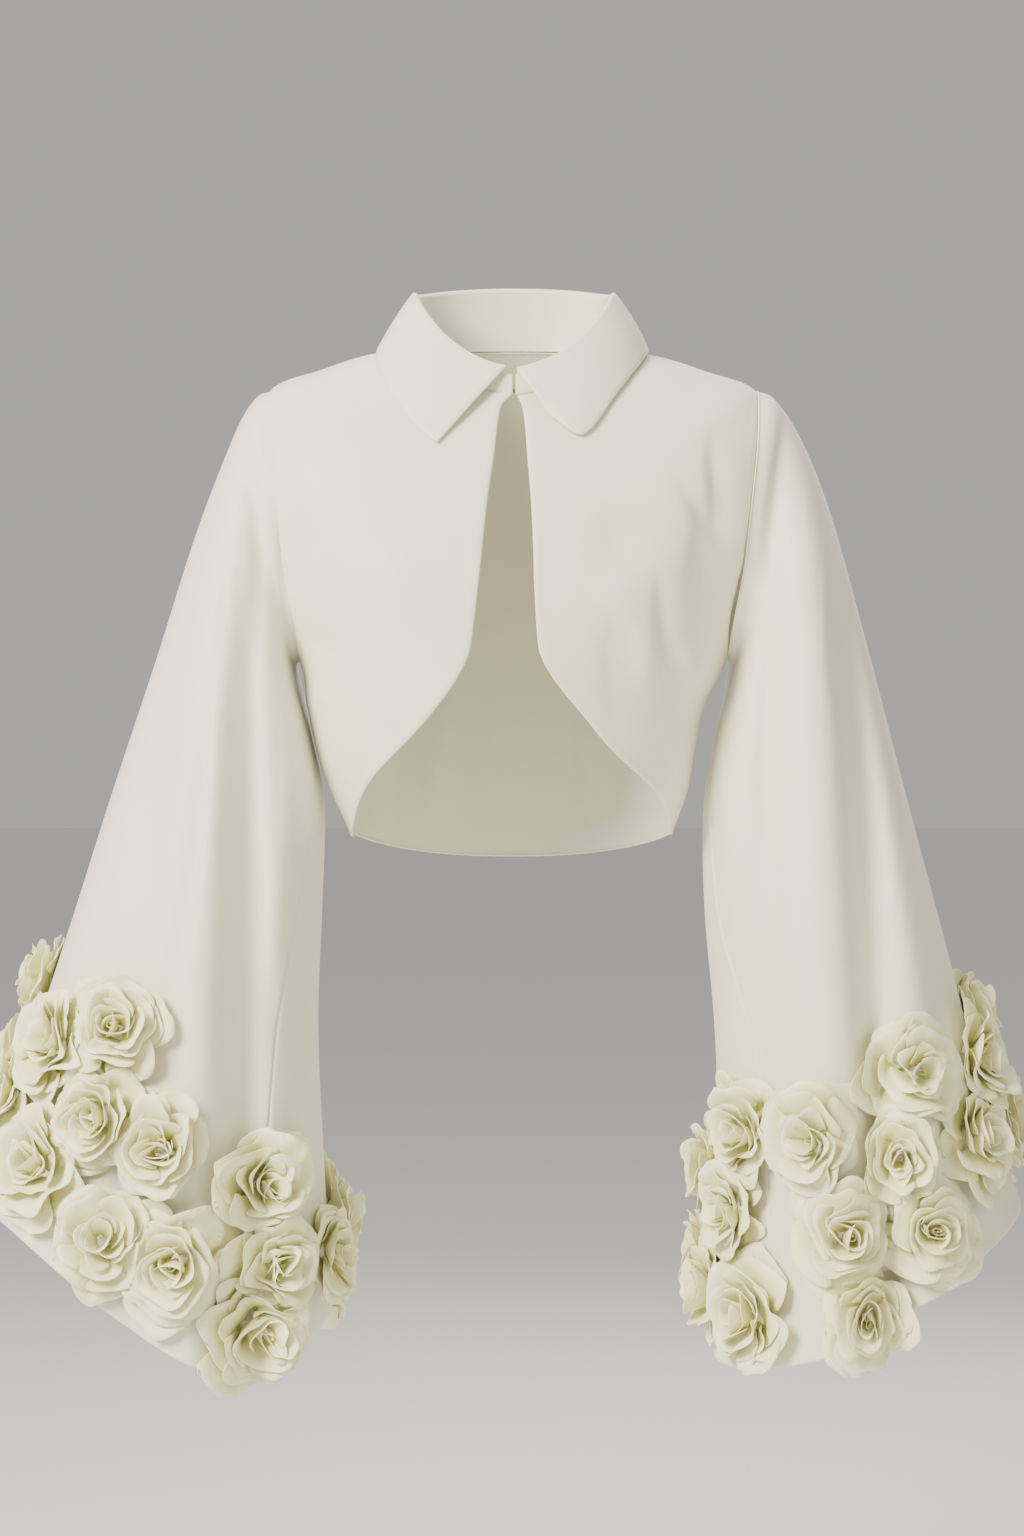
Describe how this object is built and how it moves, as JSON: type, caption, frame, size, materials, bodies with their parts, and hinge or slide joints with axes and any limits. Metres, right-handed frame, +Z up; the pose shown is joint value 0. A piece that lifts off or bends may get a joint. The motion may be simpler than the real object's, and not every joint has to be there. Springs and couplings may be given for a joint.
{
  "type": "cropped jacket",
  "caption": "Cropped open-front jacket with a pointed collar, cutaway fronts and long bell sleeves banded with fabric roses, in its hollow worn form.",
  "frame": {"origin": "on the centre plane, midway between the shoulders at the height of the points where the collar meets the shoulder seams", "axes": "+Z up as worn, +X towards the wearer's left sleeve, -Y out of the open front, +Y out of the back"},
  "size_m": [0.8288, 0.3047, 0.8432],
  "materials": {
    "shell": "heavy smooth satin-backed crepe, ivory with a faint green tint",
    "petals": "matt petals of the same cloth, pale green ivory",
    "closure": "small plated wire hook and eye"
  },
  "bodies": {
    "root": {"back": "shell", "front_left": "shell", "front_right": "shell", "collar_stand": "shell", "collar_leaf": "shell", "sleeve_left": "shell", "sleeve_right": "shell", "closure_eye": "closure", "closure_hook": "closure", "rose_left_01": "petals", "rose_left_02": "petals", "rose_left_03": "petals", "rose_left_04": "petals", "rose_left_05": "petals", "rose_left_06": "petals", "rose_left_07": "petals", "rose_left_08": "petals", "rose_left_09": "petals", "rose_left_10": "petals", "rose_left_11": "petals", "rose_left_12": "petals", "rose_left_13": "petals", "rose_left_14": "petals", "rose_left_15": "petals", "rose_left_16": "petals", "rose_left_17": "petals", "rose_left_18": "petals", "rose_left_19": "petals", "rose_left_20": "petals", "rose_left_21": "petals", "rose_left_22": "petals", "rose_left_23": "petals", "rose_left_24": "petals", "rose_right_01": "petals", "rose_right_02": "petals", "rose_right_03": "petals", "rose_right_04": "petals", "rose_right_05": "petals", "rose_right_06": "petals", "rose_right_07": "petals", "rose_right_08": "petals", "rose_right_09": "petals", "rose_right_10": "petals", "rose_right_11": "petals", "rose_right_12": "petals", "rose_right_13": "petals", "rose_right_14": "petals", "rose_right_15": "petals", "rose_right_16": "petals", "rose_right_17": "petals", "rose_right_18": "petals", "rose_right_19": "petals", "rose_right_20": "petals", "rose_right_21": "petals", "rose_right_22": "petals", "rose_right_23": "petals", "rose_right_24": "petals"}
  },
  "joints": []
}
